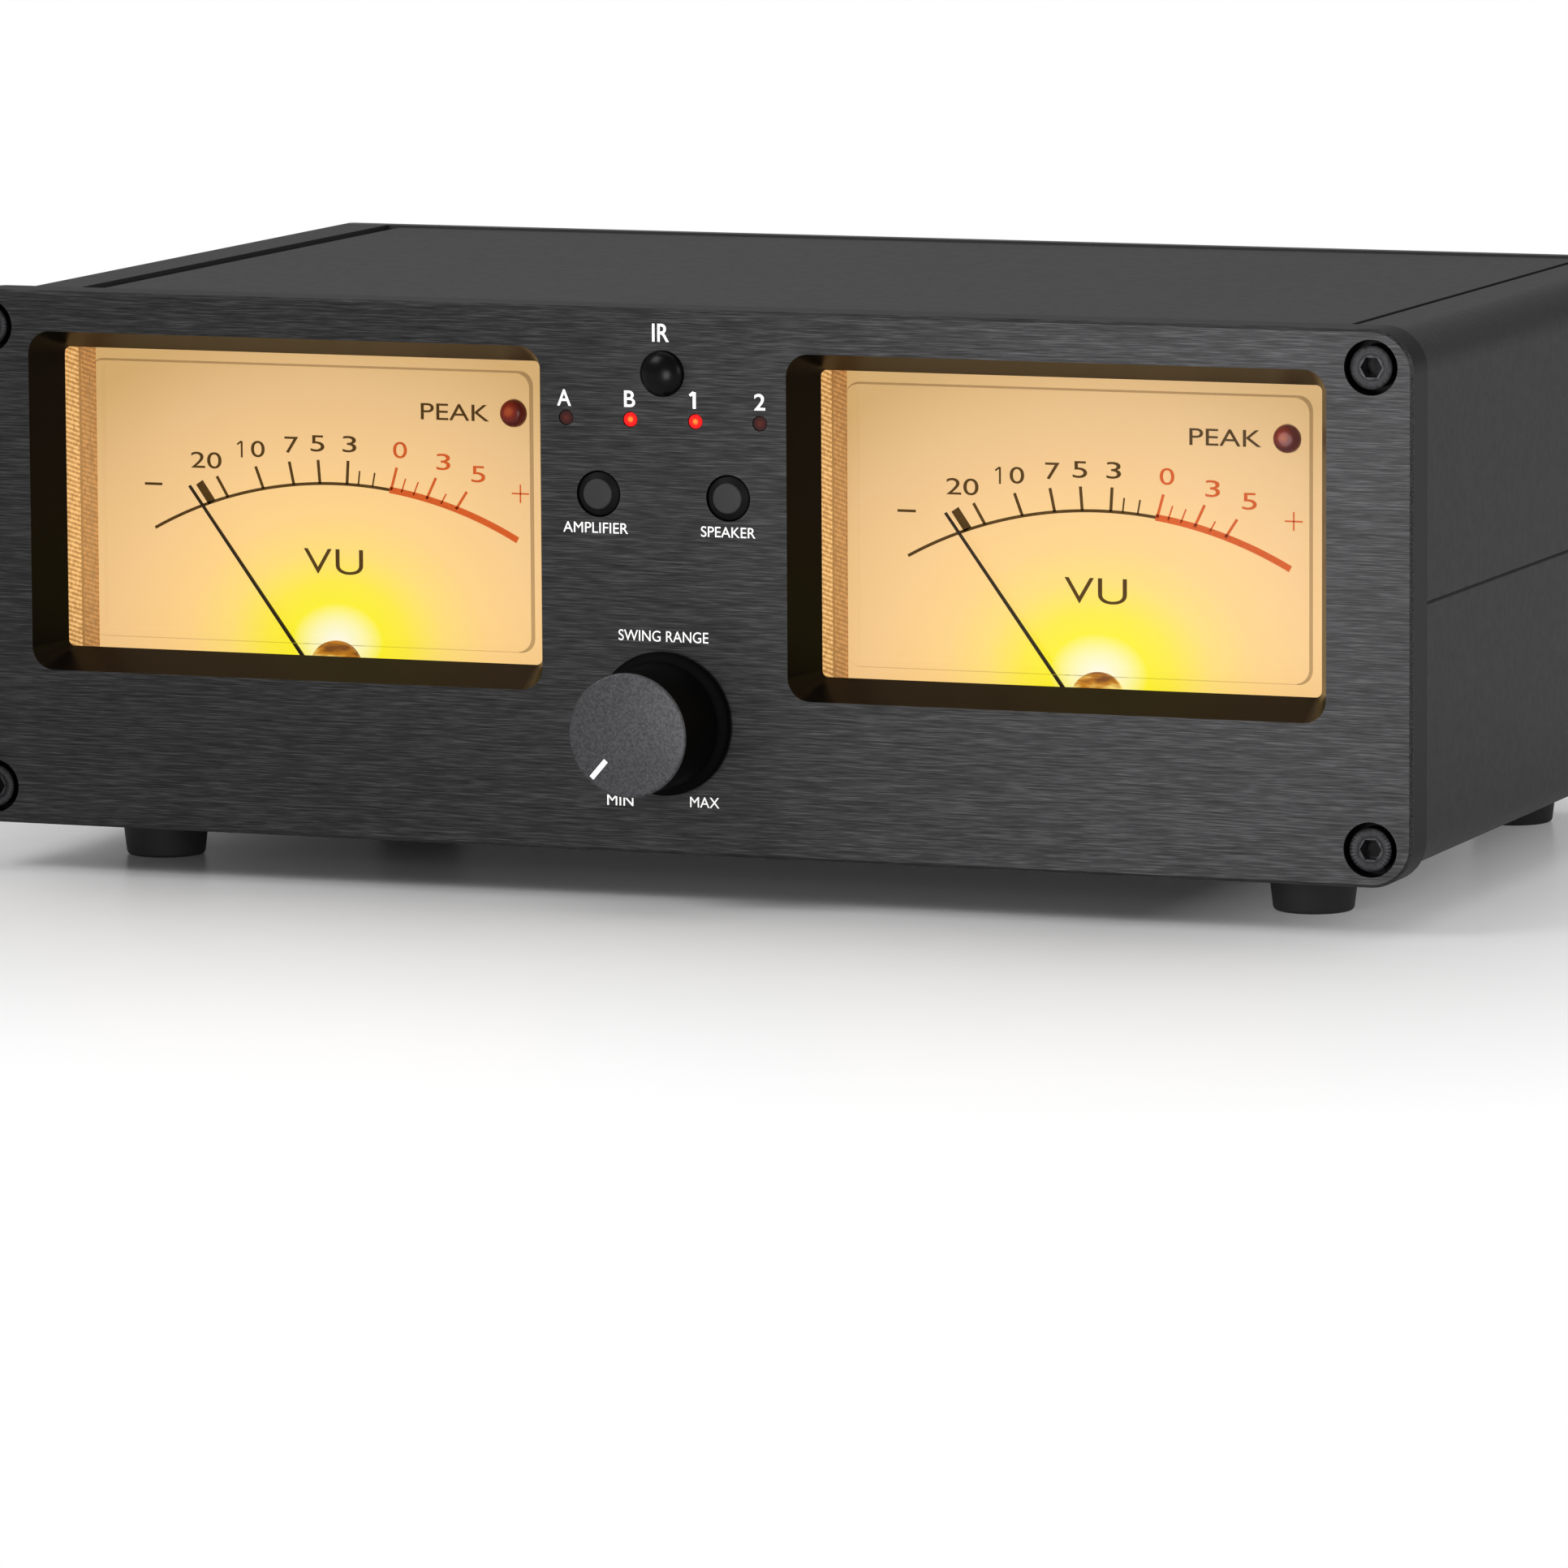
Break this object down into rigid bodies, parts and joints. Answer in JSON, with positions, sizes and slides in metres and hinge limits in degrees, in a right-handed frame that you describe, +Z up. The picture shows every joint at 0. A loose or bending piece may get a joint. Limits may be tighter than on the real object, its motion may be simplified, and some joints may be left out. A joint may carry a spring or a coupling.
{
  "type": "analog level meter",
  "caption": "Desktop stereo level meter in a long low metal case, with needle meters behind bevelled windows, a volume knob, selector buttons and rear sockets.",
  "frame": {"origin": "on the table, under the middle of the whole object's box", "axes": "+X right seen from the front, +Y from the front panel to the rear sockets, +Z up"},
  "size_m": [0.2, 0.1412, 0.0764],
  "materials": {
    "panel_black": "black anodised aluminium, brushed along its length",
    "shell_black": "fine sandblasted black anodised aluminium",
    "rear_black": "satin black powder-coated sheet",
    "screw_black": "black oxide steel",
    "screw_steel": "zinc-plated steel",
    "foot_rubber": "black moulded rubber",
    "knob_black": "matte black anodised",
    "shaft_metal": "turned steel",
    "control_metal": "plated steel housing",
    "button_grey": "dark grey moulded plastic",
    "switch_black": "black moulded plastic",
    "lamp_lit": "clear red plastic, lit",
    "lamp_unlit": "clear red plastic, unlit",
    "eye_black": "dark infrared-passing plastic",
    "board_green": "green circuit board",
    "ribbon_grey": "grey flat cable",
    "pillar_brass": "turned brass",
    "socket_red": "red insulating plastic",
    "socket_black": "black insulating plastic",
    "contact_gold": "gold-plated brass",
    "case_cream": "cream moulded plastic",
    "cover_clear": "clear moulded acrylic",
    "dial_cream": "translucent cream plastic with printed scale",
    "needle_black": "black painted aluminium",
    "coil_copper": "enamelled copper wire on a light frame",
    "yoke_iron": "soft iron",
    "magnet_grey": "sintered magnet",
    "bridge_brass": "stamped brass",
    "board_white": "white circuit board",
    "bulb_warm": "warm lamp, lit"
  },
  "bodies": {
    "case": {"front_panel": "panel_black", "top_shell": "shell_black", "bottom_shell": "shell_black", "rear_panel": "rear_black", "front_screws": "screw_black", "rear_screws": "screw_black", "foot_screws": "screw_steel", "board_screws": "screw_steel", "potentiometer_nut": "screw_steel", "socket_nuts": "screw_steel", "rubber_feet": "foot_rubber", "potentiometer": "control_metal", "amplifier_switch": "switch_black", "speaker_switch": "switch_black", "ribbon_plugs": "switch_black", "relays": "switch_black", "lit_lamps": "lamp_lit", "unlit_lamps": "lamp_unlit", "left_peak_lamp": "lamp_unlit", "right_peak_lamp": "lamp_unlit", "infrared_lens": "eye_black", "infrared_receiver": "eye_black", "control_board": "board_green", "main_board": "board_green", "ribbon_cable": "ribbon_grey", "board_standoffs": "pillar_brass", "red_sockets": "socket_red", "black_sockets": "socket_black", "power_jack": "socket_black", "socket_contacts": "contact_gold", "left_meter_case": "case_cream", "right_meter_case": "case_cream", "left_meter_cover": "cover_clear", "right_meter_cover": "cover_clear", "left_dial_plate": "dial_cream", "right_dial_plate": "dial_cream", "left_yoke_ring": "yoke_iron", "right_yoke_ring": "yoke_iron", "left_core_magnet": "magnet_grey", "right_core_magnet": "magnet_grey", "left_front_bridge": "bridge_brass", "right_front_bridge": "bridge_brass", "left_rear_bridge": "bridge_brass", "right_rear_bridge": "bridge_brass", "left_hairspring": "bridge_brass", "right_hairspring": "bridge_brass", "left_light_board": "board_white", "right_light_board": "board_white", "left_meter_lamp": "bulb_warm", "right_meter_lamp": "bulb_warm"},
    "volume_knob": {"knob": "knob_black", "knob_set_screw": "screw_black", "potentiometer_shaft": "shaft_metal"},
    "amplifier_key": {"amplifier_button": "button_grey"},
    "speaker_key": {"speaker_button": "button_grey"},
    "left_pointer": {"left_needle": "needle_black", "left_moving_coil": "coil_copper"},
    "right_pointer": {"right_needle": "needle_black", "right_moving_coil": "coil_copper"}
  },
  "joints": [
    {"name": "volume_turn", "type": "hinge", "parent": "case", "child": "volume_knob", "pos_m": [0, -0.05745, 0.0233], "axis": [0, 1, 0], "range_deg": [0, 270]},
    {"name": "amplifier_press", "type": "slide", "parent": "case", "child": "amplifier_key", "axis": [0, 1, 0], "range_m": [0, 0.0005], "stiffness_N_per_m": 800, "springref_m": -0.001},
    {"name": "speaker_press", "type": "slide", "parent": "case", "child": "speaker_key", "axis": [0, 1, 0], "range_m": [0, 0.0005], "stiffness_N_per_m": 800, "springref_m": -0.001},
    {"name": "left_needle_swing", "type": "hinge", "parent": "case", "child": "left_pointer", "pos_m": [-0.05275, -0.05745, 0.02195], "axis": [0, 1, 0], "range_deg": [0, 72], "stiffness_Nm_per_rad": 0.0004, "springref_deg": -11.46},
    {"name": "right_needle_swing", "type": "hinge", "parent": "case", "child": "right_pointer", "pos_m": [0.05275, -0.05745, 0.02195], "axis": [0, 1, 0], "range_deg": [0, 72], "stiffness_Nm_per_rad": 0.0004, "springref_deg": -11.46}
  ]
}
